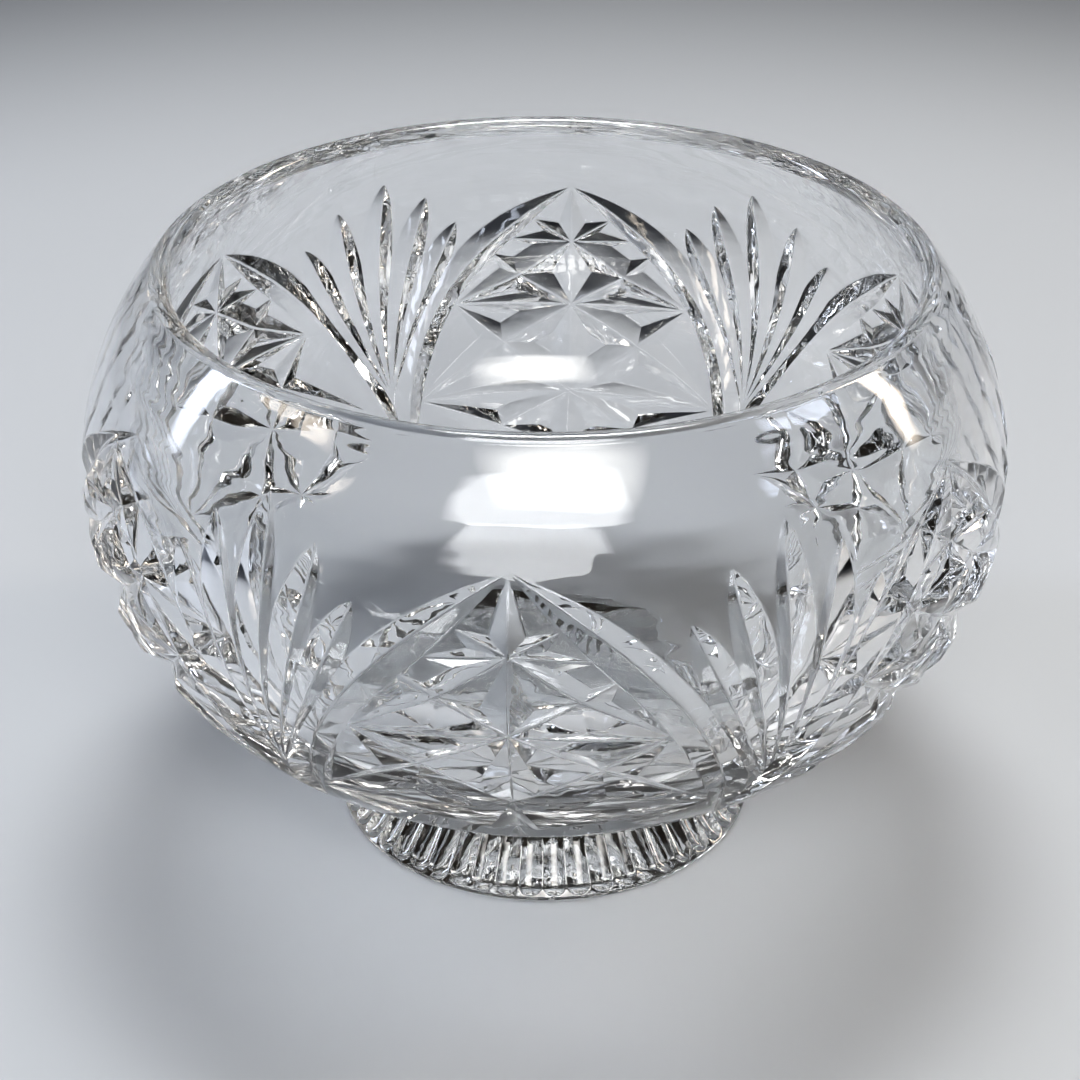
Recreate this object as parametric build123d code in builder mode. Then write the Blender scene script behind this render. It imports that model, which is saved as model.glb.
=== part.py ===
from build123d import *
import os
from math import asin, atan2, cos, degrees, hypot, pi, radians, sin, sqrt

# Footed rose bowl in cut crystal: a heavy blown bowl on an applied, fluted foot.
# Millimetres, +Z up, origin on the table at the middle of the foot. The axis of one cut
# panel faces the front, which is -Y.

# Bowl: its outer form is two quarter ellipses that meet at the belly, the widest ring.
bowl_diameter = 200.0       # across the belly
belly_height = 86.4         # table to the belly
bowl_height = 134.0         # table to the top of the rim
mouth_diameter = 167.5      # outside of the rim
joint_diameter = 68.0       # flat joint between bowl and foot
wall = 8.0                  # glass at the belly
rim_thickness = 5.0         # fire-polished rim, rounded over its whole width
bottom_thickness = 9.5      # glass between the foot joint and the inside

# Foot: a flared solid with flutes, which stands on a ring round a shallow, domed hollow.
foot_height = 18.5          # table to the flat joint under the bowl
foot_diameter = 96.0        # at the table
foot_edge = 1.0             # plain upright edge below the flare
foot_ring = 9.5             # width of the ring
hollow_depth = 2.0          # at the middle of the hollow
flute_count = 54
flute_width = 5.4
flute_depth = 1.5
flute_margin = 0.3          # plain flare left below the flutes

# Cut pattern: a panel of crossing mitres under an arch, and a fan between two panels.
repeats = 6
rim_band = 15.8             # plain glass above the cuts, in height
joint_band = 18.9           # plain glass below the cuts, in height
mitre_angle = 122.0         # between the two sides of a cut
cut_overrun = 4.0           # travel of the cutting wheel past each end of a cut
wheel_reach = 3.0           # height of the wheel's V, in depths of its cut
arch_depth = 2.6
star_depth = 2.4
star_step = 0.08            # each set of crossing cuts is this much shallower than the last
blade_depth = 2.3

# Places on a panel. The first number is a share of the height that the cuts take up above
# the belly, or below it when negative. The second is the spread from the panel's axis, as a
# share of half a repeat. So the pattern fills its zone and closes round the bowl.
apex = (0.82, 0.0)
arch_middle = (0.04, 0.572)
arch_end = (-0.73, 0.94)
stars = ((0.32, 0.0), (-0.17, 0.0), (-0.61, 0.0), (-0.88, 0.0))
star_ends = ((0.32, 0.31), (-0.16, 0.60), (-0.61, 0.83), (-0.86, 0.65))
upper_cross = (0.01, 0.27)  # where slanting cuts of neighbouring stars cross
lower_cross = (-0.37, 0.36)
branch_end = (0.51, -0.20)  # where the top star's slanting cuts run out
flank_end = (0.19, -0.40)   # where the second star's slanting cuts meet the arch
low_end = (-0.87, -0.66)    # where the third star's slanting cuts run out
root = (-1.0, 0.0)          # foot of the upright cut

# Places on a fan, spread from the fan's axis.
fan_base = (-0.57, 0.0)
fan_tips = ((1.0, 0.0), (0.81, 0.24), (0.81, -0.24), (0.535, 0.405), (0.535, -0.405))

# Seam between two repeats, off both axes and clear of every cut's edge.
seam_spread = -0.57

bowl_radius = bowl_diameter / 2
rim_outside = mouth_diameter / 2
joint_radius = joint_diameter / 2
foot_radius = foot_diameter / 2
hollow_radius = foot_radius - foot_ring
repeat_angle = 360.0 / repeats
half_repeat = repeat_angle / 2

# Half axes of the two outer curves, which end at the rim and at the joint.
rim_rise = bowl_height - rim_thickness / 2 - belly_height
joint_drop = belly_height - foot_height
shoulder_rise = rim_rise / sqrt(1 - (rim_outside / bowl_radius) ** 2)
belly_drop = joint_drop / sqrt(1 - (joint_radius / bowl_radius) ** 2)
cuts_above = bowl_height - rim_band - belly_height
cuts_below = joint_drop - joint_band


def reach_at(rise):
    """Half axis of the outer curve on the side of the belly where rise lies."""
    return shoulder_rise if rise > 0 else belly_drop


def outer_radius(rise):
    """Radius of the outer surface at a rise from the belly."""
    return bowl_radius * sqrt(1 - (rise / reach_at(rise)) ** 2)


def front_turned(turn):
    """Level direction that lies turn degrees from the front, towards +X."""
    return Vector(sin(radians(turn)), -cos(radians(turn)), 0)


def surface_normal(rise, turn):
    """Outward normal of the outer surface."""
    level = front_turned(turn) * (outer_radius(rise) / bowl_radius**2)
    return (level + Vector(0, 0, rise / reach_at(rise) ** 2)).normalized()


def below_surface(rise, turn, depth):
    """Point at a depth under the outer surface, square to it."""
    on_surface = front_turned(turn) * outer_radius(rise) + Vector(0, 0, belly_height + rise)
    return on_surface - surface_normal(rise, turn) * depth


def mitre(start, middle, end, depth, axis_turn=0.0):
    """Ring-shaped cutter with a V edge, deepest at middle and run out at start and end.

    Spreads are measured from the axis that lies axis_turn degrees from the front.
    """
    turns = [axis_turn + place[1] * half_repeat for place in (start, middle, end)]
    rises = [place[0] * (cuts_above if place[0] > 0 else cuts_below) for place in (start, middle, end)]
    first = below_surface(rises[0], turns[0], 0)
    deepest = below_surface(rises[1], turns[1], depth)
    last = below_surface(rises[2], turns[2], 0)
    with BuildLine() as route:
        ThreePointArc(first, deepest, last)
    arc = route.edge()
    centre = arc.arc_center
    spindle = Axis(centre, arc.normal())
    overrun = degrees(cut_overrun / arc.radius)
    travel = (first - centre).get_angle(last - centre) + 2 * overrun
    heel = (first - centre).normalized().rotate(Axis((0, 0, 0), arc.normal()), -overrun)

    # The V leans in its section so that it stands square to the glass at its deepest place.
    normal = surface_normal(rises[1], turns[1])
    lean = atan2(normal.dot(arc.normal()), normal.dot((deepest - centre).normalized()))
    half_angle = radians(mitre_angle / 2)
    side = wheel_reach * depth / cos(half_angle)
    flanks = (lean + half_angle, lean - half_angle)
    edges = [(side * cos(flank), side * sin(flank)) for flank in flanks]
    with BuildPart() as cutter:
        with BuildSketch(Plane(centre + heel * arc.radius, x_dir=heel, z_dir=heel.cross(arc.normal()))):
            with BuildLine():
                Polyline((0, 0), *edges, close=True)
            make_face()
        revolve(axis=spindle, revolution_arc=travel)
    return cutter.part


def mirrored(place):
    """The same place on the other side of the axis."""
    return (place[0], -place[1])


def between(place, other):
    """Place halfway from one place to another."""
    return ((place[0] + other[0]) / 2, (place[1] + other[1]) / 2)


# Cutters of one repeat: level and upright cuts first, then both hands of the slanting ones.
cutters = [mitre(mirrored(end), star, end, star_depth) for star, end in zip(stars, star_ends)]
cutters.append(mitre(apex, between(apex, root), root, star_depth - star_step))
slants = (
    (star_ends[1], upper_cross, branch_end),
    (star_ends[2], lower_cross, flank_end),
    (star_ends[1], stars[2], low_end),
    (star_ends[2], between(star_ends[2], root), root),
)
for set_number, (start, middle, end) in enumerate(slants, start=2):
    slant_depth = star_depth - set_number * star_step
    cutters.append(mitre(start, middle, end, slant_depth))
    cutters.append(mitre(mirrored(start), mirrored(middle), mirrored(end), slant_depth))
cutters.append(mitre(apex, arch_middle, arch_end, arch_depth))
cutters.append(mitre(apex, mirrored(arch_middle), mirrored(arch_end), arch_depth))
for tip in fan_tips:
    cutters.append(mitre(tip, between(tip, fan_base), fan_base, blade_depth, half_repeat))


def ellipse_run(radius, reach, start, end):
    """Adds a run of an ellipse about the belly to a line, between two angles above it."""
    middle = (start + end) / 2
    half_weight = cos((end - start) / 2)
    corner = (radius * cos(middle) / half_weight, belly_height + reach * sin(middle) / half_weight)
    ends = [(radius * cos(angle), belly_height + reach * sin(angle)) for angle in (start, end)]
    Bezier(ends[0], corner, ends[1], weights=(1, half_weight, 1))


# Profile of the glass. The inside follows the outside at the wall, thinner at the rim and
# thicker at the bottom.
rim_inside = rim_outside - rim_thickness
inner_radius = bowl_radius - wall
inner_rise = rim_rise / sqrt(1 - (rim_inside / inner_radius) ** 2)
inner_drop = joint_drop - bottom_thickness
joint_angle = asin(joint_drop / belly_drop)
rim_angle = asin(rim_rise / shoulder_rise)
inner_rim_angle = asin(rim_rise / inner_rise)

# One repeat of the bowl, cut by its own cutters and by those of the next repeat, which
# reach over the seam between them.
seam = front_turned(seam_spread * half_repeat)
with BuildPart() as bowl_repeat:
    with BuildSketch(Plane((0, 0, 0), x_dir=seam, z_dir=seam.cross(Vector(0, 0, 1)))):
        with BuildLine():
            ellipse_run(bowl_radius, belly_drop, -joint_angle, 0)
            ellipse_run(bowl_radius, shoulder_rise, 0, rim_angle)
            ThreePointArc(
                (rim_outside, belly_height + rim_rise),
                (rim_outside - rim_thickness / 2, bowl_height),
                (rim_inside, belly_height + rim_rise),
            )
            ellipse_run(inner_radius, inner_rise, 0, inner_rim_angle)
            ellipse_run(inner_radius, inner_drop, -pi / 2, 0)
            Polyline((0, belly_height - inner_drop), (0, foot_height), (joint_radius, foot_height))
        make_face()
    revolve(axis=Axis.Z, revolution_arc=repeat_angle)
    for cutter in cutters:
        with PolarLocations(0, 2, angular_range=2 * repeat_angle):
            add(cutter, mode=Mode.SUBTRACT)

with BuildPart() as bowl:
    with PolarLocations(0, repeats):
        add(bowl_repeat.part)

# Flute cutter: a round-ended rod laid along the flare of the foot, at the front.
flare_run = foot_radius - joint_radius
flare_climb = foot_height - foot_edge
flare_length = hypot(flare_run, flare_climb)
up_flare = Vector(0, flare_run, flare_climb).normalized()
off_flare = Vector(0, -flare_climb, flare_run).normalized()
rod_radius = flute_width**2 / (8 * flute_depth) + flute_depth / 2
flare_foot = Vector(0, -foot_radius, foot_edge)
rod_start = flare_foot + off_flare * (rod_radius - flute_depth) + up_flare * (flute_margin + flute_width / 2)
with BuildPart() as flute_cutter:
    with BuildSketch(Plane(rod_start, z_dir=up_flare)):
        Circle(rod_radius)
    extrude(amount=flare_length)
    with Locations(rod_start):
        Sphere(rod_radius)

with BuildPart() as foot:
    with BuildSketch(Plane.XZ):
        with BuildLine():
            TangentArc((0, hollow_depth), (hollow_radius, 0), tangent=(1, 0))
            Polyline(
                (hollow_radius, 0),
                (foot_radius, 0),
                (foot_radius, foot_edge),
                (joint_radius, foot_height),
                (0, foot_height),
                (0, hollow_depth),
            )
        make_face()
    revolve(axis=Axis.Z)
    with PolarLocations(0, flute_count):
        add(flute_cutter.part, mode=Mode.SUBTRACT)

os.makedirs("parts", exist_ok=True)
bowl.part.label = "bowl"
export_step(bowl.part, "parts/bowl.step")
foot.part.label = "foot"
export_step(foot.part, "parts/foot.step")
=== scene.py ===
"""Studio scene of a footed rose bowl in hand-cut lead crystal.

The bowl is turned as a closed body of glass and then cut as the real one is, by V-edged wheels for
its panels, arches and fans. The applied foot is turned with its flutes in one surface. Lengths are
millimetres until a mesh is made, which is in metres. Turns are degrees from the front, which is -Y,
towards +X.
"""

from __future__ import annotations

import logging
from dataclasses import dataclass, field
from enum import IntEnum
from math import asin, ceil, cos, pi, radians, sin, sqrt, tan

import bpy
import numpy as np
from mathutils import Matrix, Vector

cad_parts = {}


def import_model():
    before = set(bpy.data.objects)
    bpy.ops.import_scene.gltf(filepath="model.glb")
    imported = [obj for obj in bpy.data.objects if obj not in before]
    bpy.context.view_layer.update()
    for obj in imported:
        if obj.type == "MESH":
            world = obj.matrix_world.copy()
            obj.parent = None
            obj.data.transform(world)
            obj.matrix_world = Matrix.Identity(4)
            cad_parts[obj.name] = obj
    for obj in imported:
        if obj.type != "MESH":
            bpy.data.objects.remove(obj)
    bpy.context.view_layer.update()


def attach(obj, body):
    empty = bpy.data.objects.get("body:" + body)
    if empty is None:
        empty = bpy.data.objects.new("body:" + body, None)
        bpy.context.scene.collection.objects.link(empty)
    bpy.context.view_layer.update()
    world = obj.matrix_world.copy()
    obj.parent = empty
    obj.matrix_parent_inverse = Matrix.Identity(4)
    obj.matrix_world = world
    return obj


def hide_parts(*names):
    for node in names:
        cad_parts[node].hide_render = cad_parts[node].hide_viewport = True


log = logging.getLogger("rose_bowl")

MM = 0.001
BODY = "root"
ZONE_LAYER = "zone"
FACING_LAYER = "facing"
FULL_TURN = 360.0
ON_AXIS = 1e-6  # a ring with a smaller radius is one point on the axis
SETTLE_ROUNDS = 4  # rounds in which a place on curved glass is found
UPRIGHT = np.array([0.0, 0.0, 1.0])

# Light crosses up to eight skins of glass on its way through the bowl and is thrown about in the
# cuts on the way, so it may turn many times before it is given up.
GLASS_BOUNCES = 32
GLOSSY_BOUNCES = 12

Array = np.ndarray
Node = bpy.types.Node
Tree = bpy.types.NodeTree
Place = tuple[float, float]
Route = tuple[tuple[float, float, float], ...]


class Zone(IntEnum):
    """How a face of the glass was finished. The value is also its material index."""

    BLOWN = 0
    CUT = 1
    JOINT = 2
    INSIDE = 3


def linear(hex_colour: str, alpha: float = 1.0) -> tuple[float, float, float, float]:
    """Turns an sRGB hex colour into linear light.

    Args:
        hex_colour: Colour such as "#d8dade".
        alpha: Opacity.

    Returns:
        Linear red, green and blue, with the opacity.
    """
    shares = [int(hex_colour[i : i + 2], 16) / 255 for i in (1, 3, 5)]
    light = [c / 12.92 if c <= 0.04045 else ((c + 0.055) / 1.055) ** 2.4 for c in shares]
    return (light[0], light[1], light[2], alpha)


def empty_tree(owner: bpy.types.ID) -> Tree:
    """Switches on the nodes of a material, world or lamp and removes those it starts with.

    Args:
        owner: What the nodes belong to.

    Returns:
        The empty node tree.
    """
    owner.use_nodes = True
    owner.node_tree.nodes.clear()
    return owner.node_tree


def add_node(
    tree: Tree, kind: str, values: dict | None = None, links: dict | None = None, **settings: object
) -> Node:
    """Adds a node with its settings, socket values and links.

    Args:
        tree: Node tree that gets the node.
        kind: Type of node.
        values: Values by input name or number.
        links: Output sockets by input name or number.
        **settings: The node's own properties.

    Returns:
        The new node.
    """
    node = tree.nodes.new(kind)
    for name, setting in settings.items():
        setattr(node, name, setting)
    for name, value in (values or {}).items():
        node.inputs[name].default_value = value
    for name, socket in (links or {}).items():
        tree.links.new(socket, node.inputs[name])
    return node


def put_in_scene(name: str, data: bpy.types.ID) -> bpy.types.Object:
    """Makes an object and links it to the scene.

    Args:
        name: Name of the object.
        data: Its mesh, lamp or camera.

    Returns:
        The new object.
    """
    thing = bpy.data.objects.new(name, data)
    bpy.context.scene.collection.objects.link(thing)
    return thing


def front_turned(turns: Array) -> Array:
    """Level unit directions at turns given in degrees from the front."""
    angles = np.radians(turns)
    return np.stack([np.sin(angles), -np.cos(angles), np.zeros_like(angles)], axis=-1)


def smoothed(values: Array, reach: int = 2) -> Array:
    """Averages each value with its neighbours and keeps both ends.

    Args:
        values: Values along a route.
        reach: Neighbours taken in on each side.

    Returns:
        As many values, with their corners eased.
    """
    before = 2 * values[0] - values[reach:0:-1]
    after = 2 * values[-1] - values[-2 : -reach - 2 : -1]
    width = 2 * reach + 1
    padded = np.concatenate([before, values, after])
    return np.convolve(padded, np.ones(width) / width, mode="valid")


@dataclass
class Shell:
    """Closed surface with a zone on each face and a facing, or smooth normal, at each corner."""

    points: list[Array] = field(default_factory=list)
    faces: list[tuple[int, ...]] = field(default_factory=list)
    zones: list[int] = field(default_factory=list)
    facings: list[Array] = field(default_factory=list)

    def add_points(self, points: Array) -> int:
        """Adds a block of points.

        Args:
            points: The points, one in each row.

        Returns:
            The number of the first one.
        """
        first = sum(len(block) for block in self.points)
        self.points.append(points)
        return first

    def add_face(self, corners: tuple[int, ...], zone: Zone, facings: list[Array]) -> None:
        """Adds one face.

        Args:
            corners: Numbers of its points.
            zone: How it was finished.
            facings: Facing at each corner.
        """
        self.faces.append(corners)
        self.zones.append(int(zone))
        self.facings.extend(facings)

    def to_object(self, name: str) -> bpy.types.Object:
        """Makes a mesh object in metres.

        Args:
            name: Name of the object.

        Returns:
            The object, linked to the scene.
        """
        mesh = bpy.data.meshes.new(name)
        mesh.from_pydata((np.concatenate(self.points) * MM).tolist(), [], self.faces)
        zone_layer = mesh.attributes.new(ZONE_LAYER, "INT", "FACE")
        zone_layer.data.foreach_set("value", np.array(self.zones, dtype=np.int32))
        facing_layer = mesh.attributes.new(FACING_LAYER, "FLOAT_VECTOR", "CORNER")
        facing_layer.data.foreach_set("vector", np.array(self.facings, dtype=np.float32).ravel())
        return put_in_scene(name, mesh)


@dataclass(frozen=True)
class Strip:
    """Run of a turned profile: radius, height and normal at each of its points.

    Each is a column with one value for a whole ring, or a table with one for every turn of it.
    """

    radius: Array
    height: Array
    outward: Array
    upward: Array
    zone: Zone
    sideways: Array | None = None

    def table(self, values: Array | None, count: int) -> Array:
        """Spreads a column or a table over the turns of each ring.

        Args:
            values: Column, table, or nothing for zeros.
            count: Points in a ring.

        Returns:
            One row of values for each ring.
        """
        rings = len(self.radius)
        if values is None:
            return np.zeros((rings, count))
        return np.broadcast_to(np.reshape(values, (rings, -1)), (rings, count))


def turned(strips: list[Strip], turns: Array) -> Shell:
    """Turns a closed profile about the upright axis.

    Args:
        strips: Runs of the profile from axis to axis, each starting where the last one ends.
        turns: Turns of the points in each ring.

    Returns:
        The turned body.
    """
    shell = Shell()
    segments = len(turns)
    level, beside = front_turned(turns), front_turned(turns + FULL_TURN / 4)
    last_ring: list[int] = []
    for strip in strips:
        radii, heights, outward, upward, sideways = (
            strip.table(values, segments)
            for values in (strip.radius, strip.height, strip.outward, strip.upward, strip.sideways)
        )
        rings: list[list[int]] = []
        for place, (radius, height) in enumerate(zip(radii, heights)):
            if place == 0 and last_ring:
                rings.append(last_ring)
            elif radius.max() < ON_AXIS:
                first = shell.add_points(np.array([[0.0, 0.0, height[0]]]))
                rings.append([first] * segments)
            else:
                first = shell.add_points(level * radius[:, None] + UPRIGHT * height[:, None])
                rings.append(list(range(first, first + segments)))
        normals = level * outward[..., None] + UPRIGHT * upward[..., None]
        normals = normals + beside * sideways[..., None]
        run = (radii[1, 0] - radii[0, 0], heights[1, 0] - heights[0, 0])
        clockwise = run[1] * outward[:2, 0].mean() - run[0] * upward[:2, 0].mean() > 0
        for lower in range(len(rings) - 1):
            for step in range(segments):
                ahead = (step + 1) % segments
                corners = [
                    (rings[lower][step], normals[lower][step]),
                    (rings[lower][ahead], normals[lower][ahead]),
                    (rings[lower + 1][ahead], normals[lower + 1][ahead]),
                    (rings[lower + 1][step], normals[lower + 1][step]),
                ]
                if corners[0][0] == corners[1][0]:
                    del corners[0]
                elif corners[2][0] == corners[3][0]:
                    del corners[3]
                if not clockwise:
                    corners.reverse()
                shell.add_face(tuple(c[0] for c in corners), strip.zone, [c[1] for c in corners])
        last_ring = rings[-1]
    return shell


@dataclass(frozen=True)
class BlownForm:
    """Form of the blown bowl, with the sizes of the CAD part.

    Attributes:
        belly_radius: Outside radius at the belly, the widest ring.
        belly_height: Floor to the belly.
        rim_height: Floor to the top of the rim.
        mouth_radius: Outside radius at the rim.
        joint_radius: Radius of the flat joint with the foot.
        joint_height: Floor to that joint.
        wall: Glass at the belly.
        rim_thickness: Width of the rim, which is rounded all over.
        bottom_thickness: Glass between the joint and the inside.
        joint_rows: Rings of points on the joint.
        outside_rows: Rings of points on the outside.
        rim_rows: Rings of points on the rim.
        inside_rows: Rings of points on the inside.
        arc_steps: Steps in which the outer curve is measured.
        lean_rounds: Rounds in which the lean of the rim is found.
    """

    belly_radius: float = 100.0
    belly_height: float = 86.4
    rim_height: float = 134.0
    mouth_radius: float = 83.75
    joint_radius: float = 34.0
    joint_height: float = 18.5
    wall: float = 8.0
    rim_thickness: float = 5.0
    bottom_thickness: float = 9.5
    joint_rows: int = 4
    outside_rows: int = 66
    rim_rows: int = 15
    inside_rows: int = 50
    arc_steps: int = 4000
    lean_rounds: int = 20

    @property
    def rise(self) -> float:
        """Half axis of the outer curve above the belly."""
        climb = self.rim_height - self.rim_thickness / 2 - self.belly_height
        return climb / sqrt(1 - (self.mouth_radius / self.belly_radius) ** 2)

    @property
    def drop(self) -> float:
        """Half axis of the outer curve below the belly."""
        fall = self.belly_height - self.joint_height
        return fall / sqrt(1 - (self.joint_radius / self.belly_radius) ** 2)

    def outer_angles(self, along: Array) -> Array:
        """Angles on the outer ellipses at distances along the glass.

        Args:
            along: Distances upwards from the belly.

        Returns:
            The angles above the belly, or below it when negative.
        """
        angles = np.linspace(-pi / 2, pi / 2, self.arc_steps + 1)
        reach = np.where(angles > 0, self.rise, self.drop)
        pace = np.hypot(self.belly_radius * np.sin(angles), reach * np.cos(angles))
        steps = (pace[1:] + pace[:-1]) / 2 * (angles[1] - angles[0])
        distance = np.concatenate([[0.0], np.cumsum(steps)])
        return np.interp(along, distance - distance[self.arc_steps // 2], angles)

    def arc(self, angles: Array, radius: float, rise: float, drop: float, side: float) -> Strip:
        """Run of two quarter ellipses about the belly.

        Args:
            angles: Angles above the belly, or below it when negative.
            radius: Level half axis.
            rise: Upright half axis above the belly.
            drop: Upright half axis below the belly.
            side: 1 for an outside, -1 for an inside.

        Returns:
            The run, with the zone of its side.
        """
        reach = np.where(angles > 0, rise, drop)
        outward, upward = np.cos(angles) / radius, np.sin(angles) / reach
        length = np.hypot(outward, upward) * side
        return Strip(
            radius * np.cos(angles),
            self.belly_height + reach * np.sin(angles),
            outward / length,
            upward / length,
            Zone.BLOWN if side > 0 else Zone.INSIDE,
        )

    def outside(self, angles: Array) -> Strip:
        """Run of the outside between angles above and below the belly."""
        return self.arc(angles, self.belly_radius, self.rise, self.drop, 1.0)

    def on_glass(self, turn: Array, along: Array) -> tuple[Array, Array]:
        """Places on the outside before it is cut.

        Args:
            turn: Degrees from the front.
            along: Distance along the glass, upwards from the belly.

        Returns:
            The points and their outward normals.
        """
        strip = self.outside(self.outer_angles(along))
        level = front_turned(turn)
        points = level * strip.radius[:, None] + UPRIGHT * strip.height[:, None]
        normals = level * strip.outward[:, None] + UPRIGHT * strip.upward[:, None]
        return points, normals

    def sag(self, middle: Array, normal: Array, across: Array, reach: Array) -> Array:
        """Height of the uncut glass over its tangent plane, to one side of a place.

        Args:
            middle: Places on the glass.
            normal: Outward normals there.
            across: Directions to the side.
            reach: Distances to the side.

        Returns:
            The heights, which are negative where the glass curves away.
        """
        sag = np.zeros_like(reach)
        for _ in range(SETTLE_ROUNDS):
            point = middle + across * reach[:, None] + normal * sag[:, None]
            climb = point[:, 2] - self.belly_height
            half_axis = np.where(climb > 0, self.rise, self.drop)
            level = point[:, :2] / self.belly_radius
            excess = np.sum(level**2, axis=1) + (climb / half_axis) ** 2 - 1
            slope = np.column_stack([level / self.belly_radius, climb / half_axis**2])
            sag = sag - excess / (2 * np.sum(slope * normal, axis=1))
        return sag

    def profile(self) -> list[Strip]:
        """Closes the profile of the wall, from the joint over the rim to the bottom inside.

        Returns:
            Joint, outside, rim and inside.
        """
        half = self.rim_thickness / 2
        rim_middle = self.rim_height - half

        # The rim is rounded square to the wall, which leans in towards the mouth.
        lean = 0.0
        for _ in range(self.lean_rounds):
            climb = rim_middle + half * sin(lean) - self.belly_height
            angle = asin(climb / self.rise)
            lean = np.arctan2(sin(angle) / self.rise, cos(angle) / self.belly_radius)
        rim_radius = self.belly_radius * cos(angle) - half * cos(lean)
        turn = np.linspace(lean, lean + pi, self.rim_rows)
        rim = Strip(
            rim_radius + half * np.cos(turn),
            rim_middle + half * np.sin(turn),
            np.cos(turn),
            np.sin(turn),
            Zone.BLOWN,
        )

        joint_angle = -asin((self.belly_height - self.joint_height) / self.drop)
        outside = self.outside(np.linspace(joint_angle, angle, self.outside_rows))
        inner_radius = self.belly_radius - self.wall
        inner_drop = self.belly_height - self.joint_height - self.bottom_thickness
        inner_angle = np.arccos(rim.radius[-1] / inner_radius)
        inner_rise = (rim.height[-1] - self.belly_height) / sin(inner_angle)
        inner_angles = np.linspace(inner_angle, -pi / 2, self.inside_rows)
        inside = self.arc(inner_angles, inner_radius, inner_rise, inner_drop, -1.0)
        inside.radius[-1] = 0.0
        joint = Strip(
            np.linspace(0.0, self.joint_radius, self.joint_rows),
            np.full(self.joint_rows, self.joint_height),
            np.zeros(self.joint_rows),
            -np.ones(self.joint_rows),
            Zone.JOINT,
        )
        return [joint, outside, rim, inside]


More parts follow.
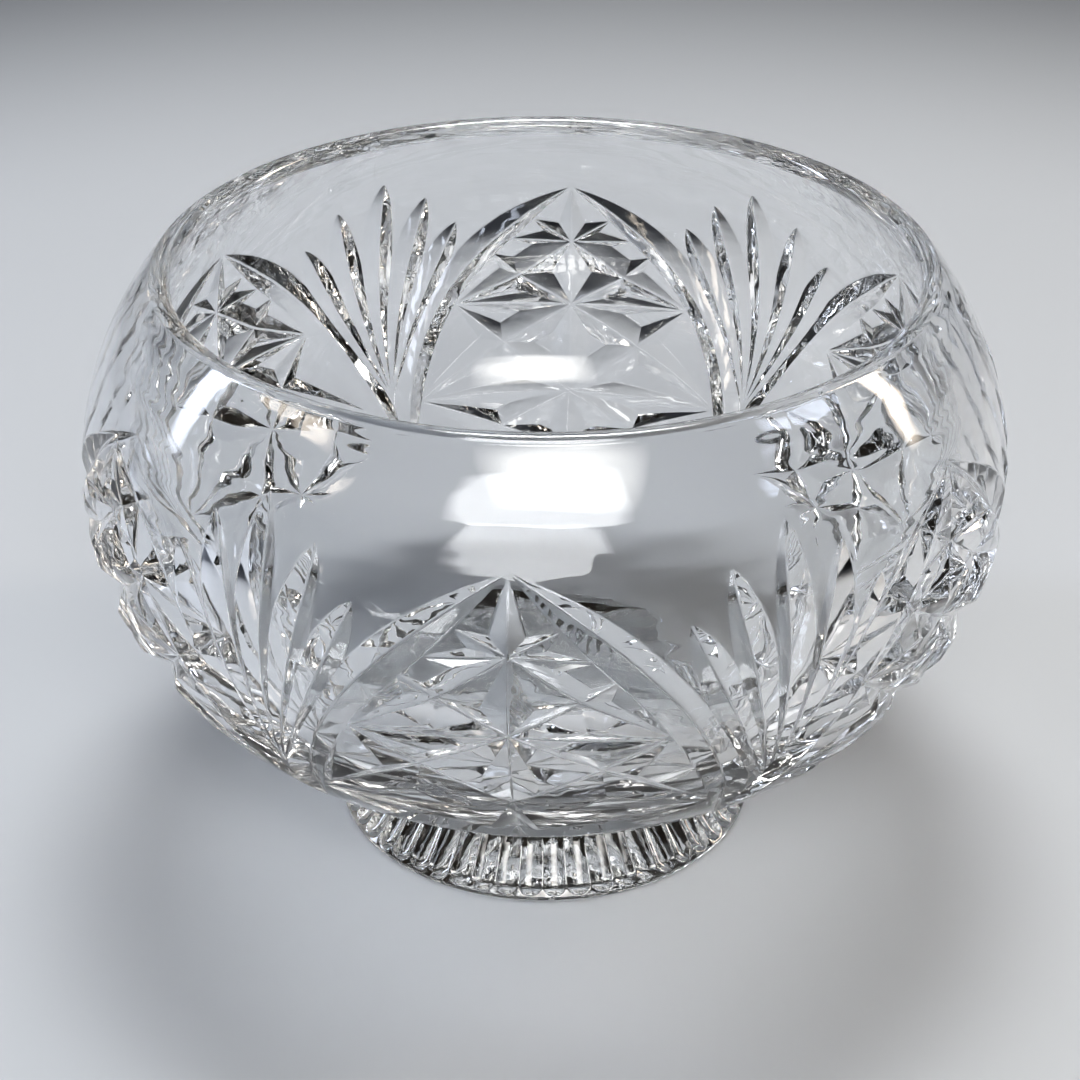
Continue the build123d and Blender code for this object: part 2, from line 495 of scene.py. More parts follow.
@dataclass(frozen=True)
class Mitre:
    """One cut of a V-edged wheel.

    Attributes:
        depth: Full depth of the cut.
        route: Places as turn from the pattern's axis, distance along the glass from the belly, and
            share of the full depth. A cut runs out where the share comes down to nothing.
        half_angle: Angle between the middle of the V and its side.
        bottom_radius: Rounding at the bottom of the V, where the wheel's edge is worn.
        edge_radius: Rounding that the polish leaves on the edges of the cut.
        edge_share: Most of a side that this rounding may take up.
        least_reach: Least half width of the cutter, where the cut runs out.
        least_depth: Highest lift of the wheel off the glass, as a depth below nothing.
        clear: Height of the cutter's lid over the glass.
        lid_flare: Spread of the cutter for each millimetre up to its lid.
        pace: Distance between two steps along the route.
        least_steps: Fewest steps along a route.
        overrun: Steps of the wheel past each end.
        probe: Distance to each side at which the slope of the glass is read.
        bottom_places: Points on half of the rounded bottom.
        edge_places: Points on a rounded edge.
    """

    depth: float
    route: Route
    half_angle: float = radians(61.0)
    bottom_radius: float = 0.75
    edge_radius: float = 1.2
    edge_share: float = 0.45
    least_reach: float = 0.8
    least_depth: float = -0.6
    clear: float = 1.5
    lid_flare: float = 0.4
    pace: float = 1.3
    least_steps: int = 8
    overrun: int = 3
    probe: float = 0.1
    bottom_places: int = 3
    edge_places: int = 4

    def stations(self, form: BlownForm) -> tuple[Array, Array, Array]:
        """Follows the route in even steps and a little past both ends.

        Args:
            form: The glass that is cut.

        Returns:
            Turn, distance along the glass and depth at each step.
        """
        turn, along, share = (np.array(column) for column in zip(*self.route))
        points, _ = form.on_glass(turn, along)
        gaps = np.linalg.norm(np.diff(points, axis=0), axis=1)
        marks = np.concatenate([[0.0], np.cumsum(gaps)])
        count = max(self.least_steps, ceil(marks[-1] / self.pace))
        steps = np.linspace(0.0, marks[-1], count)
        spread = (np.interp(steps, marks, column) for column in (turn, along, share * self.depth))
        turn, along, depth = (smoothed(column) for column in spread)
        further = np.arange(1, self.overrun + 1)

        def past(column: Array) -> Array:
            """Carries a column on in a straight line past both ends.

            Args:
                column: Values at the steps.

            Returns:
                The values with those before and after them.
            """
            before = column[0] - (column[1] - column[0]) * further[::-1]
            after = column[-1] + (column[-1] - column[-2]) * further
            return np.concatenate([before, column, after])

        return past(turn), past(along), np.maximum(past(depth), self.least_depth)

    def cutters(self, form: BlownForm, settings: list[Place]) -> Shell:
        """Makes the closed wedges that the wheel takes out.

        Args:
            form: The glass that is cut.
            settings: Turn of each axis that carries the cut, and the cut's lift there.

        Returns:
            One wedge for each setting. Their facings are those of the glass that they leave.
        """
        turn, along, depth = self.stations(form)
        shell = Shell()
        for axis, lift in settings:
            middle, normal = form.on_glass(turn + axis, along + lift)
            ahead = np.gradient(middle, axis=0)
            ahead -= normal * np.sum(ahead * normal, axis=1, keepdims=True)
            ahead /= np.linalg.norm(ahead, axis=1, keepdims=True)
            across = np.cross(normal, ahead)
            left = self._flank(form, middle, normal, -across, depth)
            right = self._flank(form, middle, normal, across, depth)
            x = np.concatenate([-left[0][:, :0:-1], right[0]], axis=1)[..., None]
            y = np.concatenate([left[1][:, :0:-1], right[1]], axis=1)[..., None]
            tilt = np.concatenate([-left[2][:, :0:-1], right[2]], axis=1)[..., None]
            grid = middle[:, None] + across[:, None] * x + normal[:, None] * y
            square_to = normal[:, None] * np.cos(tilt) - across[:, None] * np.sin(tilt)
            pace = np.gradient(grid, axis=0)
            forward = np.sum(pace * ahead[:, None], axis=2, keepdims=True)
            climb = np.sum(pace * square_to, axis=2, keepdims=True)
            facing = square_to * forward - ahead[:, None] * climb
            facing /= np.linalg.norm(facing, axis=2, keepdims=True)
            self._close(shell, grid, facing, normal)
        return shell

    def _flank(
        self, form: BlownForm, middle: Array, normal: Array, across: Array, depth: Array
    ) -> tuple[Array, Array, Array]:
        """Half of the wedge's section, from its bottom over the rounded edge to clear air.

        Args:
            form: The glass that is cut.
            middle: Places on the uncut glass at each step.
            normal: Outward normals there.
            across: Directions towards this side.
            depth: Depth at each step.

        Returns:
            Distance to the side, height over the uncut glass and slope, for each step and place.
        """
        slope = pi / 2 - self.half_angle
        reach = np.maximum(depth * tan(self.half_angle), self.least_reach)
        for _ in range(SETTLE_ROUNDS):
            sag = form.sag(middle, normal, across, reach)
            reach = np.maximum((depth + sag) * tan(self.half_angle), self.least_reach)
        nearer = form.sag(middle, normal, across, reach - self.probe)
        further = form.sag(middle, normal, across, reach + self.probe)
        skin_slope = np.arctan((further - nearer) / (2 * self.probe))

        swing = np.linspace(0.0, slope, self.bottom_places)
        bottom_x = np.tile(self.bottom_radius * np.sin(swing), (len(depth), 1))
        bottom_y = self.bottom_radius * (1 / sin(self.half_angle) - np.cos(swing)) - depth[:, None]

        room = self.edge_share * (reach - bottom_x[:, -1]) / sin(self.half_angle)
        leg = np.minimum(self.edge_radius * np.tan((slope - skin_slope) / 2), room)
        corner = np.stack([reach, reach / tan(self.half_angle) - depth], axis=1)
        start = corner - leg[:, None] * np.array([sin(self.half_angle), cos(self.half_angle)])
        end = corner + leg[:, None] * np.stack([np.cos(skin_slope), np.sin(skin_slope)], axis=1)
        share = np.linspace(0.0, 1.0, self.edge_places)[:, None]
        bend = [(1 - s) ** 2 * start + 2 * s * (1 - s) * corner + s**2 * end for s in share]
        edge = np.stack(bend, axis=1)

        top_x = end[:, 0] + self.lid_flare * (self.clear - end[:, 1])
        x = np.column_stack([bottom_x, edge[..., 0], top_x])
        y = np.column_stack([bottom_y, edge[..., 1], np.full(len(depth), self.clear)])
        bend_slope = slope + (skin_slope[:, None] - slope) * share.T
        tilt = np.column_stack([np.tile(swing, (len(depth), 1)), bend_slope, skin_slope])
        return x, y, tilt

    @staticmethod
    def _close(shell: Shell, grid: Array, facing: Array, normal: Array) -> None:
        """Adds the skin, lid and ends of one wedge to a shell.

        Args:
            shell: Shell that gets the wedge.
            grid: Points of the wedge by step and place in its section.
            facing: Facings at those points.
            normal: Outward normals of the uncut glass at each step.
        """
        stations, around = grid.shape[:2]
        first = shell.add_points(grid.reshape(-1, 3))

        def number(station: int, place: int) -> int:
            """Number of the point at a step and a place, counted on round the section."""
            return first + station * around + place % around

        for i in range(stations - 1):
            for k in range(around):
                places = ((i, k), (i, k + 1), (i + 1, k + 1), (i + 1, k))
                facings = [facing[s, p % around] for s, p in places]
                if k == around - 1:
                    facings = [normal[s] for s, _ in places]
                shell.add_face(tuple(number(s, p) for s, p in places), Zone.CUT, facings)
        for station, order in ((0, range(around - 1, -1, -1)), (stations - 1, range(around))):
            corners = tuple(number(station, p) for p in order)
            shell.add_face(corners, Zone.CUT, [normal[station]] * around)


def mirrored(route: Route) -> Route:
    """The same route on the other side of its axis."""
    return tuple((-turn, along, share) for turn, along, share in route)


def to_left(place: Place) -> Place:
    """The same place on the left of its axis."""
    return (-place[0], place[1])


@dataclass(frozen=True)
class PanelPattern:
    """Six panels of crossing mitres under pointed arches, and a fan between each two panels.

    A place is a turn from the panel's or the fan's axis and a distance along the glass from the
    belly. The glass between the crossing cuts is left as three-sided points.

    Attributes:
        repeats: Panels round the bowl.
        star_depth: Full depth of the crossing cuts.
        arch_depth: Full depth of the arches.
        blade_depth: Full depth of a fan's blades.
        apex: Top of the upright cut, at the point of the arch.
        stars: Middles of the stars, from the top.
        root: Foot of the upright cut.
        star_ends: Right ends of the stars' level cuts.
        upper_cross: Crossing of slanting cuts between the first and the second star.
        middle_cross: The same between the second and the third.
        lower_cross: The same between the third and the fourth.
        branch_end: Where a slanting cut of the first star runs out.
        flank_end: Where a slanting cut of the second star meets the arch.
        low_end: Where a slanting cut of the fourth star runs out.
        arch: Right half of the arch, with its share of the depth.
        fan_base: Where the blades of a fan meet.
        fan_tips: Tips of the blades.
        blade_shares: Shares of the way from tip to base, with the share of the depth there.
        fan_slips: Turn and lift of each fan. Fans are marked out by eye between their panels, so
            some stand a little to one side or higher.
    """

    repeats: int = 6
    star_depth: float = 3.0
    arch_depth: float = 2.6
    blade_depth: float = 2.6
    apex: Place = (0.0, 26.9)
    stars: tuple[Place, ...] = ((0.0, 10.2), (0.0, -8.6), (0.0, -33.2), (0.0, -50.0))
    root: Place = (0.0, -58.0)
    star_ends: tuple[Place, ...] = ((9.4, 10.2), (17.9, -7.9), (25.4, -33.2), (20.2, -48.5))
    upper_cross: Place = (8.0, 0.1)
    middle_cross: Place = (10.7, -19.2)
    lower_cross: Place = (12.0, -42.6)
    branch_end: Place = (5.8, 16.4)
    flank_end: Place = (12.0, 6.1)
    low_end: Place = (-6.5, -56.5)
    arch: Route = (
        (0.0, 27.4, 0.0),
        (3.1, 23.8, 0.30),
        (6.3, 19.7, 0.62),
        (9.8, 14.6, 0.90),
        (13.2, 9.3, 1.0),
        (16.2, 3.5, 1.0),
        (18.9, -2.4, 1.0),
        (21.1, -8.4, 1.0),
        (23.5, -15.9, 1.0),
        (25.8, -24.9, 0.95),
        (28.0, -35.2, 0.80),
        (29.0, -43.5, 0.42),
        (29.5, -50.0, 0.0),
    )
    fan_base: Place = (0.0, -30.7)
    fan_tips: tuple[Place, ...] = (
        (0.0, 33.4),
        (7.3, 26.4),
        (-7.3, 26.4),
        (12.4, 17.1),
        (-12.4, 17.1),
    )
    blade_shares: tuple[Place, ...] = (
        (0.0, 0.0),
        (0.04, 0.34),
        (0.1, 0.6),
        (0.2, 0.86),
        (0.34, 1.0),
        (0.55, 0.92),
        (0.8, 0.58),
        (1.0, 0.0),
    )
    fan_slips: tuple[Place, ...] = (
        (2.2, -1.2),
        (0.0, 0.0),
        (0.0, 0.0),
        (0.0, 0.0),
        (0.0, 0.0),
        (0.4, 1.8),
    )

    def panel_cuts(self) -> list[Mitre]:
        """Lays out the cuts of a panel. The last number at each place is its share of the depth.

        Returns:
            The upright and level cuts, then both hands of the slanting ones and of the arch.
        """
        first, second, third, fourth = self.stars
        ends = self.star_ends
        upright = (
            (*self.apex, 0.0),
            (*first, 0.96),
            (*second, 1.0),
            (*third, 1.0),
            (*fourth, 0.8),
            (*self.root, 0.0),
        )
        level = [
            ((*to_left(end), 0.0), (*star, share), (*end, 0.0))
            for star, end, share in zip(self.stars, ends, (0.9, 0.98, 0.98, 0.8))
        ]
        slants = (
            (
                (*to_left(ends[1]), 0.0),
                (*to_left(self.upper_cross), 0.96),
                (*first, 0.94),
                (*self.branch_end, 0.0),
            ),
            (
                (*to_left(ends[2]), 0.0),
                (*to_left(self.middle_cross), 1.0),
                (*second, 1.02),
                (*self.upper_cross, 0.94),
                (*self.flank_end, 0.0),
            ),
            (
                (*to_left(ends[3]), 0.0),
                (*to_left(self.lower_cross), 0.9),
                (*third, 1.02),
                (*self.middle_cross, 0.98),
                (*ends[1], 0.0),
            ),
            (
                (*self.low_end, 0.0),
                (*fourth, 0.8),
                (*self.lower_cross, 0.92),
                (*ends[2], 0.0),
            ),
        )
        cuts = [Mitre(self.star_depth, route) for route in (upright, *level)]
        for route in slants:
            cuts.append(Mitre(self.star_depth, route))
            cuts.append(Mitre(self.star_depth, mirrored(route)))
        cuts.append(Mitre(self.arch_depth, self.arch))
        cuts.append(Mitre(self.arch_depth, mirrored(self.arch)))
        return cuts

    def fan_cuts(self) -> list[Mitre]:
        """Lays out the blades of a fan.

        Returns:
            One cut for each blade, from its tip to the fan's base.
        """
        cuts = []
        base_turn, base_along = self.fan_base
        for turn, along in self.fan_tips:
            route = tuple(
                (turn + (base_turn - turn) * way, along + (base_along - along) * way, share)
                for way, share in self.blade_shares
            )
            cuts.append(Mitre(self.blade_depth, route))
        return cuts


def cut_away(glass: bpy.types.Object, wheel: bpy.types.Object) -> None:
    """Takes closed cutters out of a glass body and removes them.

    Args:
        glass: Body that is cut.
        wheel: Object that holds the cutters.
    """
    modifier = glass.modifiers.new("cut", "BOOLEAN")
    modifier.operation = "DIFFERENCE"
    modifier.solver = "MANIFOLD"
    modifier.object = wheel
    graph = bpy.context.evaluated_depsgraph_get()
    cut = bpy.data.meshes.new_from_object(
        glass.evaluated_get(graph), preserve_all_data_layers=True, depsgraph=graph
    )
    glass.modifiers.clear()
    whole = glass.data
    glass.data = cut
    bpy.data.meshes.remove(whole)
    wedges = wheel.data
    bpy.data.objects.remove(wheel)
    bpy.data.meshes.remove(wedges)


def polish(glass: bpy.types.Object, finishes: list[bpy.types.Material]) -> None:
    """Gives a cut body its materials by zone and its smooth normals by facing.

    Args:
        glass: Cut body with both layers.
        finishes: Materials in the order of the zones.
    """
    mesh = glass.data
    zones = np.zeros(len(mesh.polygons), dtype=np.int32)
    mesh.attributes[ZONE_LAYER].data.foreach_get("value", zones)
    facings = np.zeros(len(mesh.loops) * 3, dtype=np.float32)
    mesh.attributes[FACING_LAYER].data.foreach_get("vector", facings)
    facings = facings.reshape(-1, 3)
    facings /= np.maximum(np.linalg.norm(facings, axis=1, keepdims=True), 1e-9)
    mesh.materials.clear()
    for finish in finishes:
        mesh.materials.append(finish)
    mesh.polygons.foreach_set("material_index", zones)
    mesh.polygons.foreach_set("use_smooth", np.ones(len(mesh.polygons), dtype=bool))
    mesh.attributes.remove(mesh.attributes[ZONE_LAYER])
    mesh.attributes.remove(mesh.attributes[FACING_LAYER])
    mesh.normals_split_custom_set(facings.tolist())
    mesh.update()


@dataclass(frozen=True)
class Crystal:
    """Polished lead crystal with 24 % lead oxide: clear, heavy and brilliant.

    Attributes:
        name: Name of the finish.
        ripple: Height of the waves that its making leaves, in millimetres.
        spacing: Distance between the waves upwards, in millimetres.
        length: Length of a wave round the body, in millimetres.
        shift: Shift of the waves, so that two skins don't share theirs.
        detail: How many finer sets of waves ride on the first.
        wave_fade: Height of each finer set, as a share of the one before.
        tint: Colour of the glass, a trace of grey-blue.
        ior: Bending of light in 24 % lead crystal.
        roughness: Roughness of the polish, which leaves none.
    """

    name: str
    ripple: float
    spacing: float
    length: float
    shift: float = 0.0
    detail: float = 1.0
    wave_fade: float = 0.4
    tint: str = "#fbfcfd"
    ior: float = 1.545
    roughness: float = 0.0

    def make(self) -> bpy.types.Material:
        """Builds the material.

        Returns:
            Clear glass whose surface carries the waves.
        """
        material = bpy.data.materials.new(self.name)
        tree = empty_tree(material)
        place = add_node(tree, "ShaderNodeTexCoord")
        level, upright = 1 / (self.length * MM), 1 / (self.spacing * MM)
        drawn_out = add_node(
            tree,
            "ShaderNodeMapping",
            {"Location": (self.shift,) * 3, "Scale": (level, level, upright)},
            {"Vector": place.outputs["Object"]},
        )
        waves = add_node(
            tree,
            "ShaderNodeTexNoise",
            {"Scale": 1.0, "Detail": self.detail, "Roughness": self.wave_fade},
            {"Vector": drawn_out.outputs["Vector"]},
        )
        bump = add_node(
            tree,
            "ShaderNodeBump",
            {"Strength": 1.0, "Distance": self.ripple * MM},
            {"Height": waves.outputs[0]},
        )
        glass = add_node(
            tree,
            "ShaderNodeBsdfPrincipled",
            {
                "Base Color": linear(self.tint),
                "Roughness": self.roughness,
                "IOR": self.ior,
                "Transmission Weight": 1.0,
            },
            {"Normal": bump.outputs["Normal"]},
        )
        add_node(tree, "ShaderNodeOutputMaterial", links={"Surface": glass.outputs["BSDF"]})
        return material


@dataclass(frozen=True)
class FusedJoint:
    """Joint of bowl and foot, which were fused while hot."""

    name: str = "fused_crystal_joint"

    def make(self) -> bpy.types.Material:
        """Builds the material.

        Returns:
            A surface that nothing shows of.
        """
        material = bpy.data.materials.new(self.name)
        tree = empty_tree(material)
        clear = add_node(tree, "ShaderNodeBsdfPrincipled", {"Alpha": 0.0})
        add_node(tree, "ShaderNodeOutputMaterial", links={"Surface": clear.outputs["BSDF"]})
        return material


@dataclass(frozen=True)
class StudioCard:
    """Matt card: pale under the object, with painted shade that darkens it towards the room, in
    metres.

    Rolled paint leaves a dull, even surface, which takes a soft shadow and shows no image.
    """

    name: str = "matt_studio_card_with_painted_shade"
    # The card's own pale colour comes first, then the colour of the painted shade and the distances
    # over which it darkens the card away from the object.
    near_colour: str = "#b9bdc2"
    painted_shade_colour: str = "#2b2f36"
    painted_shade_start: float = 0.38
    painted_shade_end: float = 0.85
    roughness: float = 0.6
    ior: float = 1.45

    def make(self) -> bpy.types.Material:
        """Builds the material.

        Returns:
            Card with painted shade that darkens it with the distance from the object.
        """
        material = bpy.data.materials.new(self.name)
        tree = empty_tree(material)
        place = add_node(tree, "ShaderNodeTexCoord")
        reach = add_node(
            tree, "ShaderNodeVectorMath", links={0: place.outputs["Object"]}, operation="LENGTH"
        )
        # Painted shade: the card's own pale colour darkens to the shade colour with the distance
        # from the object.
        fade = add_node(
            tree,
            "ShaderNodeMapRange",
            {"From Min": self.painted_shade_start, "From Max": self.painted_shade_end},
            {"Value": reach.outputs["Value"]},
            interpolation_type="SMOOTHSTEP",
        )
        shade = add_node(
            tree,
            "ShaderNodeMix",
            {6: linear(self.near_colour), 7: linear(self.painted_shade_colour)},
            {0: fade.outputs["Result"]},
            data_type="RGBA",
        )
        card = add_node(
            tree,
            "ShaderNodeBsdfPrincipled",
            {"Roughness": self.roughness, "IOR": self.ior},
            {"Base Color": shade.outputs[2]},
        )
        add_node(tree, "ShaderNodeOutputMaterial", links={"Surface": card.outputs["BSDF"]})
        return material


# Outside of the blown wall and the foot's edge. The glass was shaped hot and its skin melted smooth
# in the flame, so it has a liquid gloss, and slow waves that bend each reflection and whatever is
# seen through the wall. Real ones are some tenths of a millimetre high; they are drawn higher so
# that they show at this size.
FIRE_POLISHED = Crystal(
    "fire_polished_lead_crystal", ripple=1.8, spacing=24.0, length=60.0, detail=2.3
)

# Wheel cuts, flutes and the ground underside, all polished in acid. Their facets are sharp and
# bright, with the faint unevenness that the acid leaves. Its grain of about half a millimetre is
# too fine to show, so it is drawn at 3.5 mm.
WHEEL_CUT = Crystal("wheel_cut_polished_lead_crystal", ripple=0.05, spacing=3.5, length=3.5)

# Inside of the bowl, where the bubble was opened and turned against a wet tool. That leaves long,
# low streaks round the wall, which draw out what is seen through it.
BLOWN_INSIDE = Crystal(
    "blown_lead_crystal", ripple=0.7, spacing=16.0, length=110.0, shift=40.0, detail=3.0
)

# Hot joint: the two pieces ran together into one body of glass, so no surface is left to see.
FUSED = FusedJoint()

FINISHES = {
    Zone.BLOWN: FIRE_POLISHED,
    Zone.CUT: WHEEL_CUT,
    Zone.JOINT: FUSED,
    Zone.INSIDE: BLOWN_INSIDE,
}


@dataclass
class GlassPiece:
    """Piece of the vase that stands in the place of a CAD node."""

    node: str

    def dress(self, glass: bpy.types.Object, finishes: list[bpy.types.Material]) -> None:
        """Polishes the piece and puts it in the place of its CAD node.

        Args:
            glass: The piece.
            finishes: Materials in the order of the zones.
        """
        polish(glass, finishes)
        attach(glass, BODY)
        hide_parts(self.node)


@dataclass
class Bowl(GlassPiece):
    """The blown bowl with its wheel-cut pattern."""

    node: str = "bowl"
    form: BlownForm = field(default_factory=BlownForm)
    pattern: PanelPattern = field(default_factory=PanelPattern)
    segments: int = 288

    def build(self) -> bpy.types.Object:
        """Turns the bowl and cuts it, one set of cuts after another.

        Returns:
            The cut glass.
        """
        turns = np.arange(self.segments) * FULL_TURN / self.segments
        glass = turned(self.form.profile(), turns).to_object("bowl_glass")
        repeat = FULL_TURN / self.pattern.repeats
        panels = [(repeat * step, 0.0) for step in range(self.pattern.repeats)]
        fans = [
            (axis + repeat / 2 + turn_slip, lift)
            for (axis, _), (turn_slip, lift) in zip(panels, self.pattern.fan_slips)
        ]
        sets = [(cut, panels) for cut in self.pattern.panel_cuts()]
        sets += [(cut, fans) for cut in self.pattern.fan_cuts()]
        for cut, settings in sets:
            cut_away(glass, cut.cutters(self.form, settings).to_object("wheel"))
        return glass


@dataclass(frozen=True)
class Corner:
    """Corner of the foot's profile, with its rounding and the zone of the run that follows it."""

    radius: float
    height: float
    rounding: float
    zone: Zone

    @property
    def place(self) -> Array:
        """Radius and height."""
        return np.array([self.radius, self.height])


@dataclass
class Foot(GlassPiece):
    """The applied foot: a flared solid with flutes, on a ring round a shallow, domed hollow.

    Attributes:
        height: Floor to the joint.
        radius: Radius at the floor.
        joint_radius: Radius of the joint.
        edge: Plain upright edge below the flare.
        ring: Width of the ring that it stands on.
        hollow_depth: Depth at the middle of the hollow.
        flute_count: Flutes round the foot.
        flute_width: Width of the wheel that cut them, at the flare.
        flute_depth: Depth of a flute.
        flute_margin: Plain flare left below the flutes.
        ridge_ease: Rounding that the polish leaves on the ridges between flutes.
        lip_ease: The same at the flutes' lower ends.
        corner: Rounding of the upright edge.
        half_flute: Places across half a flute, as shares of the pitch, closer at the ridge.
        dome_rows: Rings of points in the hollow.
        line_rows: Rings of points on a straight run.
        bend_rows: Rings of points on a rounded corner.
        end_rows: Rings of points in the flutes' round ends.
        flute_rows: Rings of points in the flutes above their ends.
        probe: Distance, or angle, at which the slope of a flute is read.
    """

    node: str = "foot"
    height: float = 18.5
    radius: float = 48.0
    joint_radius: float = 34.0
    edge: float = 1.0
    ring: float = 4.0
    hollow_depth: float = 2.0
    flute_count: int = 54
    flute_width: float = 5.4
    flute_depth: float = 0.85
    flute_margin: float = 0.3
    ridge_ease: float = 0.25
    lip_ease: float = 0.1
    corner: float = 0.5
    half_flute: tuple[float, ...] = (0.15, 0.28, 0.37, 0.43, 0.47)
    dome_rows: int = 12
    line_rows: int = 3
    bend_rows: int = 6
    end_rows: int = 12
    flute_rows: int = 10
    probe: float = 1e-4

    def profile(self, turns: Array) -> list[Strip]:
        """Closed profile from the hollow under the foot round to the joint.

        Args:
            turns: Turns of the points in each ring.

        Returns:
            The runs of the profile, with flutes in the flare.
        """
        hollow = self.radius - self.ring
        dome = (hollow**2 + self.hollow_depth**2) / (2 * self.hollow_depth)
        swing = np.linspace(0.0, asin(hollow / dome), self.dome_rows)
        domed = Strip(
            dome * np.sin(swing),
            self.hollow_depth - dome * (1 - np.cos(swing)),
            -np.sin(swing),
            -np.cos(swing),
            Zone.CUT,
        )
        corners = [
            Corner(hollow, 0.0, 0.0, Zone.CUT),
            Corner(self.radius, 0.0, self.corner, Zone.BLOWN),
            Corner(self.radius, self.edge, self.corner, Zone.BLOWN),
            Corner(self.joint_radius, self.height, 0.0, Zone.JOINT),
            Corner(0.0, self.height, 0.0, Zone.JOINT),
        ]
        strips = [domed]
        start = corners[0].place
        for number, (last, here) in enumerate(zip(corners, corners[1:]), start=1):
            back = last.place - here.place
            back /= np.linalg.norm(back)
            outward = np.array([-back[1], back[0]])
            cut = 0.0
            if here.rounding:
                on = corners[number + 1].place - here.place
                on /= np.linalg.norm(on)
                cut = here.rounding / tan(np.arccos(np.clip(back @ on, -1, 1)) / 2)
            end = here.place + back * cut
            if last.zone is Zone.BLOWN and here.zone is Zone.JOINT:
                strips.append(self._fluted(start, end, turns))
            else:
                line = np.linspace(start, end, self.line_rows)
                strips.append(self._strip(line, np.tile(outward, (len(line), 1)), last.zone))
            start = end
            if here.rounding:
                leave = here.place + on * cut
                facing_on = np.array([on[1], -on[0]])
                bend = np.linspace(0.0, 1.0, self.bend_rows)[:, None]
                normals = outward * (1 - bend) + facing_on * bend
                normals /= np.linalg.norm(normals, axis=1, keepdims=True)
                sweep = here.rounding * (np.sign(on @ outward) or 1.0)
                arc = end + outward * sweep - normals * sweep
                arc[0], arc[-1] = end, leave
                strips.append(self._strip(arc, normals, here.zone))
                start = leave
        return strips

    @staticmethod
    def _strip(line: Array, normals: Array, zone: Zone) -> Strip:
        """Run of the profile through points with their normals."""
        return Strip(line[:, 0].copy(), line[:, 1].copy(), normals[:, 0], normals[:, 1], zone)

    def _fluted(self, start: Array, end: Array, turns: Array) -> Strip:
        """Run of the flare with its flutes, whose ridges the polish has eased.

        Args:
            start: Radius and height where the flare starts.
            end: Radius and height of the joint's edge.
            turns: Turns of the points in each ring.

        Returns:
            The run, with its own radius, height and normal at every turn.
        """
        length = float(np.linalg.norm(end - start))
        up_flare = (end - start) / length
        off_flare = np.array([up_flare[1], -up_flare[0]])
        pitch = 2 * pi / self.flute_count
        wheel = self.flute_width**2 / (8 * self.flute_depth) + self.flute_depth / 2
        round_end = self.flute_margin + self.flute_width / 2

        def sunk(off_axis: Array, climb: Array) -> Array:
            """Depth of the flutes below the flare.

            Args:
                off_axis: Angles off the flutes' own axes.
                climb: Distances up the flare.

            Returns:
                The depths, eased at the ridges and at the lower ends.
            """
            radius = start[0] + up_flare[0] * climb
            to_ridge = (pitch / 2 - np.abs(off_axis)) * radius
            aside = pitch / 2 * radius - np.hypot(to_ridge, self.ridge_ease)
            below = np.minimum(climb - round_end, 0.0)
            in_wheel = np.sqrt(np.maximum(wheel**2 - aside**2 - below**2, 0.0))
            depth = in_wheel - wheel + self.flute_depth
            return (depth + np.hypot(depth, self.lip_ease)) / 2

        # The flutes end on the plane of the joint, a little past the flare's own end.
        off_axis = ((np.radians(turns) + pitch / 2) % pitch - pitch / 2)[None]
        reach = np.full_like(off_axis, length)
        for _ in range(SETTLE_ROUNDS):
            reach = length + sunk(off_axis, reach) * off_flare[1] / up_flare[1]
        in_end = np.linspace(0.0, 1.0, self.end_rows)[:, None] * np.ones_like(off_axis)
        above = np.linspace(0.0, 1.0, self.flute_rows)[1:, None]
        climb = np.concatenate([round_end * in_end, round_end + (reach - round_end) * above])

        depth = sunk(off_axis, climb)
        step = self.probe
        slope_up = (sunk(off_axis, climb + step) - sunk(off_axis, climb - step)) / (2 * step)
        slope_round = (sunk(off_axis + step, climb) - sunk(off_axis - step, climb)) / (2 * step)
        radius = start[0] + up_flare[0] * climb - off_flare[0] * depth
        height = start[1] + up_flare[1] * climb - off_flare[1] * depth
        pace_out = up_flare[0] - off_flare[0] * slope_up
        pace_up = up_flare[1] - off_flare[1] * slope_up
        outward, upward = radius * pace_up, -radius * pace_out
        sideways = slope_round * (off_flare[0] * pace_up - off_flare[1] * pace_out)
        size = np.sqrt(outward**2 + upward**2 + sideways**2)
        return Strip(radius, height, outward / size, upward / size, Zone.CUT, sideways / size)

    def build(self) -> bpy.types.Object:
        """Turns the foot with its flutes.

        Returns:
            The fluted glass.
        """
        far_half = (1 - share for share in reversed(self.half_flute))
        shares = (0.0, *self.half_flute, 0.5, *far_half)
        pitch = FULL_TURN / self.flute_count
        turns = [(flute + share) * pitch for flute in range(self.flute_count) for share in shares]
        return turned(self.profile(np.array(turns)), np.array(turns)).to_object("foot_glass")


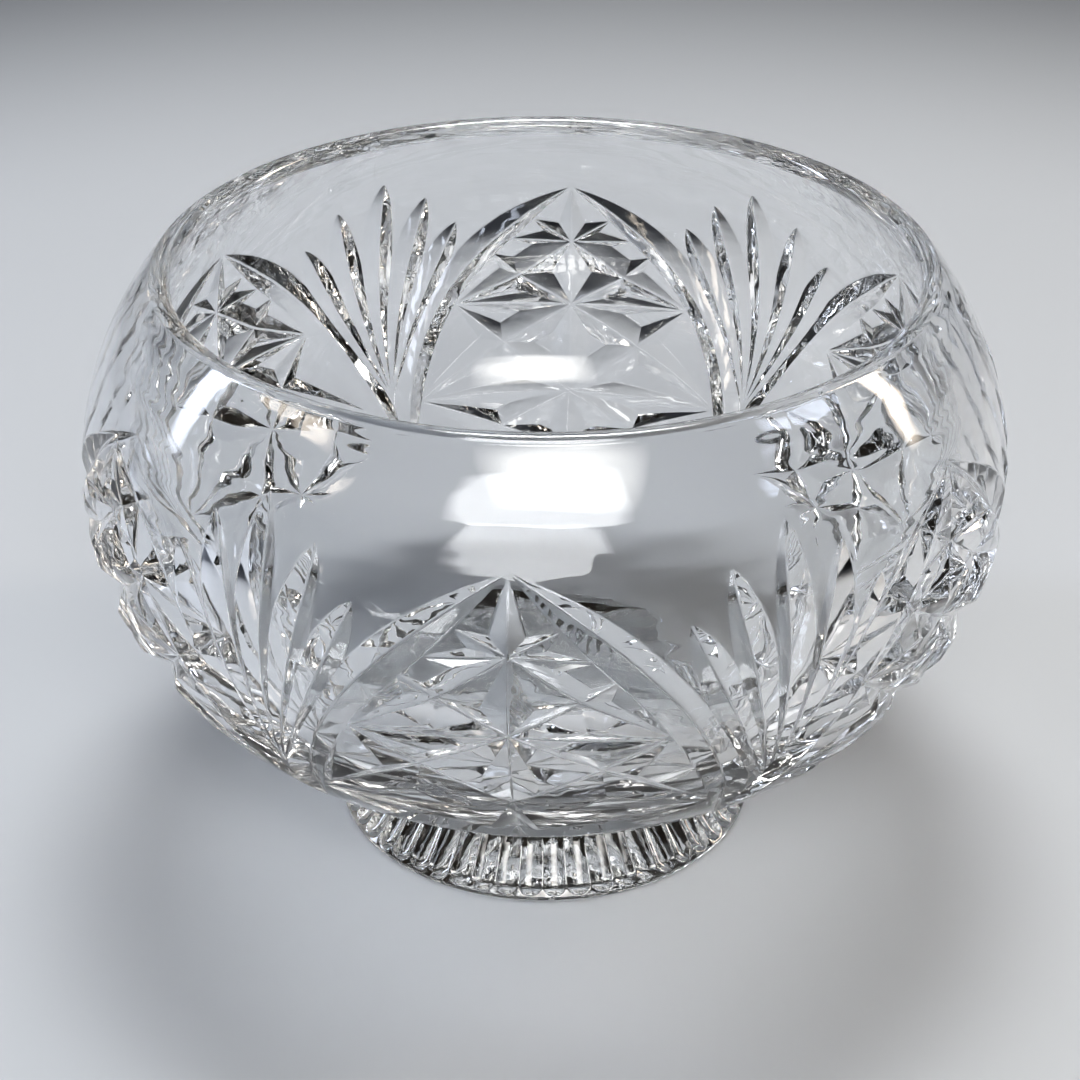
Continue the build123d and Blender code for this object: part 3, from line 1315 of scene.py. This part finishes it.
@dataclass(frozen=True)
class SoftBox:
    """Lamp behind diffusing cloth, in metres and watts.

    Attributes:
        name: Name of the lamp.
        place: Where it hangs.
        size: Width and height of the cloth.
        power: Power of the lamp.
        colour: Colour of its light.
        middle_gain: Light at the middle over that of an even cloth. It makes up for what the
            fall-off takes from the edges, of which four ninths of the light are left.
    """

    name: str
    place: tuple[float, float, float]
    size: tuple[float, float]
    power: float
    colour: str
    middle_gain: float = 2.25

    def hang(self, aim: tuple[float, float, float]) -> None:
        """Puts the lamp in the scene.

        Args:
            aim: Point that it faces.
        """
        lamp = bpy.data.lights.new(self.name, "AREA")
        lamp.shape = "RECTANGLE"
        lamp.size, lamp.size_y = self.size
        lamp.energy = self.power
        lamp.color = linear(self.colour)[:3]
        self._soften(lamp)
        light = put_in_scene(self.name, lamp)
        light.location = self.place
        towards = Vector(aim) - Vector(self.place)
        light.rotation_euler = towards.to_track_quat("-Z", "Y").to_euler()

    def _soften(self, lamp: bpy.types.AreaLight) -> None:
        """Lets the light fall off towards the edges of the cloth.

        Args:
            lamp: The lamp behind it.
        """
        tree = empty_tree(lamp)
        place = add_node(tree, "ShaderNodeTexCoord")
        centred = add_node(
            tree,
            "ShaderNodeVectorMath",
            {1: (2.0, 2.0, 0.0), 2: (-1.0, -1.0, 0.0)},
            {0: place.outputs["UV"]},
            operation="MULTIPLY_ADD",
        )
        squared = add_node(
            tree,
            "ShaderNodeVectorMath",
            links={0: centred.outputs[0], 1: centred.outputs[0]},
            operation="MULTIPLY",
        )
        left = add_node(
            tree,
            "ShaderNodeVectorMath",
            {0: (1.0, 1.0, 1.0)},
            {1: squared.outputs[0]},
            operation="SUBTRACT",
        )
        sides = add_node(tree, "ShaderNodeSeparateXYZ", links={0: left.outputs[0]})
        both = add_node(
            tree,
            "ShaderNodeMath",
            links={0: sides.outputs["X"], 1: sides.outputs["Y"]},
            operation="MULTIPLY",
        )
        whole = add_node(
            tree, "ShaderNodeMath", {1: self.middle_gain}, {0: both.outputs[0]}, operation="MULTIPLY"
        )
        glow = add_node(tree, "ShaderNodeEmission", links={"Strength": whole.outputs[0]})
        add_node(tree, "ShaderNodeOutputLight", links={"Surface": glow.outputs[0]})


@dataclass
class Studio:
    """Floor, pale under the object with painted shade further out, soft lights and the camera at the
    photograph's viewing angle, in metres.

    Attributes:
        card: Finish of the floor, with its painted shade.
        floor_radius: Radius of the floor.
        floor_sides: Sides of its outline.
        floor_gap: Gap between the foot and the floor, which keeps their faces apart.
        room_colour: Colour of the dim room round the lights.
        boxes: The lights.
        lens: Focal length of the camera, in millimetres.
        sensor: Width of its sensor, in millimetres.
        aim: Point that camera and lights face.
        distance: Distance of the camera from that point.
        azimuth: Turn of the camera from the front.
        elevation: Climb of the camera, in degrees.
        shift: Shift of the frame, which follows the photograph's framing.
        clip: Nearest and furthest distance that the camera sees.
    """

    card: StudioCard = field(default_factory=StudioCard)
    floor_radius: float = 4.0
    floor_sides: int = 96
    floor_gap: float = 0.0001
    room_colour: str = "#16130f"
    boxes: tuple[SoftBox, ...] = (
        SoftBox("overhead_box", (0.0, 0.35, 1.25), (0.6, 0.42), 12.0, "#ffffff"),
        SoftBox("front_box", (0.15, -1.05, 1.0), (0.85, 0.45), 10.5, "#fffdf8"),
        SoftBox("left_strip", (-1.05, 0.1, 0.55), (0.14, 0.9), 5.5, "#e6eeff"),
        SoftBox("right_strip", (1.05, 0.25, 0.6), (0.14, 0.9), 5.5, "#fff0de"),
    )
    lens: float = 79.4
    sensor: float = 36.0
    aim: tuple[float, float, float] = (0.0, 0.0, 0.060)
    distance: float = 0.5363
    azimuth: float = 4.05
    elevation: float = 30.86
    shift: tuple[float, float] = (-0.0046, 0.0156)
    clip: tuple[float, float] = (0.01, 50.0)

    def build(self) -> None:
        """Sets up the floor, the room, the lights and the camera."""
        self._floor()
        self._room()
        for box in self.boxes:
            box.hang(self.aim)
        self._camera()

    def _floor(self) -> None:
        """Lays a round floor of card."""
        mesh = bpy.data.meshes.new("studio_floor")
        turns = np.arange(self.floor_sides) * FULL_TURN / self.floor_sides
        rim = front_turned(turns) * self.floor_radius - UPRIGHT * self.floor_gap
        mesh.from_pydata(rim.tolist(), [], [tuple(range(self.floor_sides))])
        mesh.materials.append(self.card.make())
        floor = put_in_scene("studio_floor", mesh)

    def _room(self) -> None:
        """Makes the dim room round the lights."""
        world = bpy.data.worlds.new("studio_room")
        tree = empty_tree(world)
        colour = linear(self.room_colour)
        room = add_node(tree, "ShaderNodeBackground", {"Color": colour, "Strength": 1.0})
        add_node(tree, "ShaderNodeOutputWorld", links={"Surface": room.outputs["Background"]})
        bpy.context.scene.world = world

    def _camera(self) -> None:
        """Sets up the camera, fitted to the photograph's rim, belly and foot."""
        lens = bpy.data.cameras.new("camera")
        lens.sensor_width = self.sensor
        lens.lens = self.lens
        lens.shift_x, lens.shift_y = self.shift
        lens.clip_start, lens.clip_end = self.clip
        camera = put_in_scene("camera", lens)
        turn, climb = radians(self.azimuth), radians(self.elevation)
        back = Vector((sin(turn) * cos(climb), -cos(turn) * cos(climb), sin(climb)))
        camera.location = Vector(self.aim) + back * self.distance
        camera.rotation_euler = (-back).to_track_quat("-Z", "Y").to_euler()
        bpy.context.scene.camera = camera


def set_light_paths(scene: bpy.types.Scene) -> None:
    """Shows colours as written and lets light through as many walls of glass as the bowl has.

    Args:
        scene: The scene that is rendered.
    """
    scene.view_settings.view_transform = "Standard"
    scene.cycles.max_bounces = GLASS_BOUNCES
    scene.cycles.transmission_bounces = GLASS_BOUNCES
    scene.cycles.glossy_bounces = GLOSSY_BOUNCES
    scene.cycles.transparent_max_bounces = GLASS_BOUNCES
    scene.cycles.use_denoising = True


def main() -> None:
    """Builds the glass and its studio."""
    logging.basicConfig(level=logging.INFO, format="%(name)s: %(message)s")
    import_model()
    materials = [FINISHES[zone].make() for zone in Zone]
    for piece in (Bowl(), Foot()):
        glass = piece.build()
        piece.dress(glass, materials)
        log.info("%s: %d faces", glass.name, len(glass.data.polygons))
    Studio().build()
    set_light_paths(bpy.context.scene)


if __name__ == "__main__":
    main()
